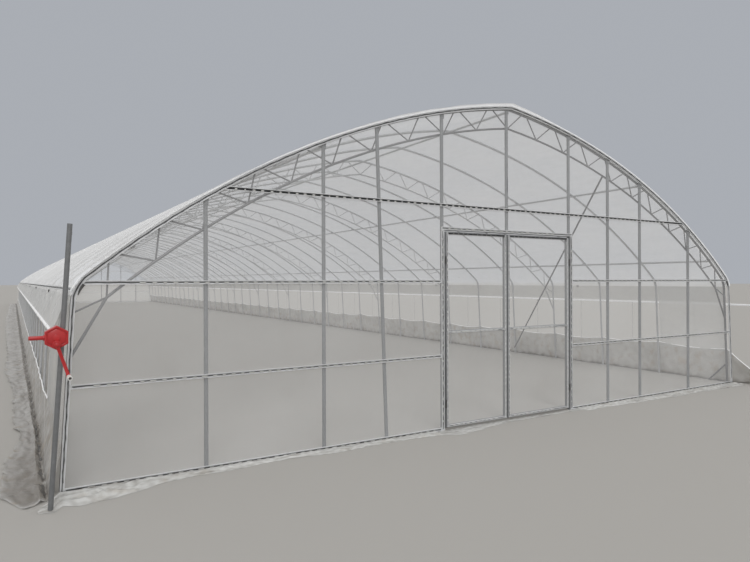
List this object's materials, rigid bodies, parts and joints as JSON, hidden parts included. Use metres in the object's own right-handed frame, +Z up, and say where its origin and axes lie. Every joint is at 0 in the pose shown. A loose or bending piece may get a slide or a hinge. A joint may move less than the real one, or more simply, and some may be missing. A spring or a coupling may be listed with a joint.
{
  "type": "polytunnel greenhouse, 1:2 scale model",
  "caption": "Long walk-in film polytunnel on lattice steel arches, with hinged end doors, roll-up side curtains and hand winders, as a 1:2 scale model.",
  "frame": {"origin": "middle of the footprint at ground level", "axes": "+X to the right seen from the door end, +Y from the door end to the back, +Z up"},
  "size_m": [4.9906, 23.4786, 1.8133],
  "materials": {
    "galvanised": "dull galvanised tube",
    "channel": "bright galvanised channel",
    "dark_steel": "dull dark steel",
    "roof_film": "thin translucent polyethylene film",
    "clear_film": "thin clear polyethylene film",
    "milky_film": "thin milky polyethylene film",
    "rolled_film": "film rolled on a tube",
    "red_paint": "red gloss paint",
    "white_plastic": "white moulded plastic"
  },
  "bodies": {
    "frame": {"front_truss": "galvanised", "back_truss": "galvanised", "truss_arches_front": "galvanised", "truss_arches_back": "galvanised", "plain_arches_front": "galvanised", "plain_arches_back": "galvanised", "ridge_purlin": "galvanised", "roof_purlins": "galvanised", "roof_film": "roof_film", "eave_channels": "channel", "guide_posts": "galvanised", "left_roll_tube": "rolled_film", "right_roll_tube": "rolled_film", "left_curtain": "milky_film", "right_curtain": "milky_film", "left_skirt": "milky_film", "right_skirt": "milky_film", "corner_films": "milky_film", "front_posts": "galvanised", "door_posts": "galvanised", "door_header": "galvanised", "centre_post": "galvanised", "back_posts": "galvanised", "front_film_left": "clear_film", "front_film_right": "clear_film", "front_film_over_door": "clear_film", "back_film": "clear_film", "front_arch_channel": "channel", "front_rails": "channel", "door_channels": "channel", "back_rails": "channel", "back_arch_channel": "channel", "ground_flap": "milky_film", "post_hinges": "dark_steel", "left_winder_box": "red_paint", "right_winder_box": "red_paint", "diagonal_braces": "galvanised", "foot_strut": "galvanised"},
    "left_door": {"left_door_frame": "galvanised", "left_door_film": "clear_film", "left_door_channel": "channel", "left_leaf_hinges": "dark_steel"},
    "right_door": {"right_door_frame": "galvanised", "right_door_film": "clear_film", "right_door_channel": "channel", "right_leaf_hinges": "dark_steel"},
    "left_crank": {"left_crank": "red_paint", "left_grip": "white_plastic"},
    "right_crank": {"right_crank": "red_paint", "right_grip": "white_plastic"}
  },
  "joints": [
    {"name": "left_door_hinge", "type": "hinge", "parent": "frame", "child": "left_door", "pos_m": [-0.4825, -11.443, 0.5], "axis": [0, 0, -1], "range_deg": [0, 95]},
    {"name": "right_door_hinge", "type": "hinge", "parent": "frame", "child": "right_door", "pos_m": [0.4825, -11.443, 0.5], "axis": [0, 0, 1], "range_deg": [0, 95]},
    {"name": "left_crank_turn", "type": "hinge", "parent": "frame", "child": "left_crank", "pos_m": [-2.34472, -11.668, 0.587], "axis": [0, -1, 0], "continuous": true},
    {"name": "right_crank_turn", "type": "hinge", "parent": "frame", "child": "right_crank", "pos_m": [2.34472, -11.668, 0.587], "axis": [0, -1, 0], "continuous": true}
  ]
}
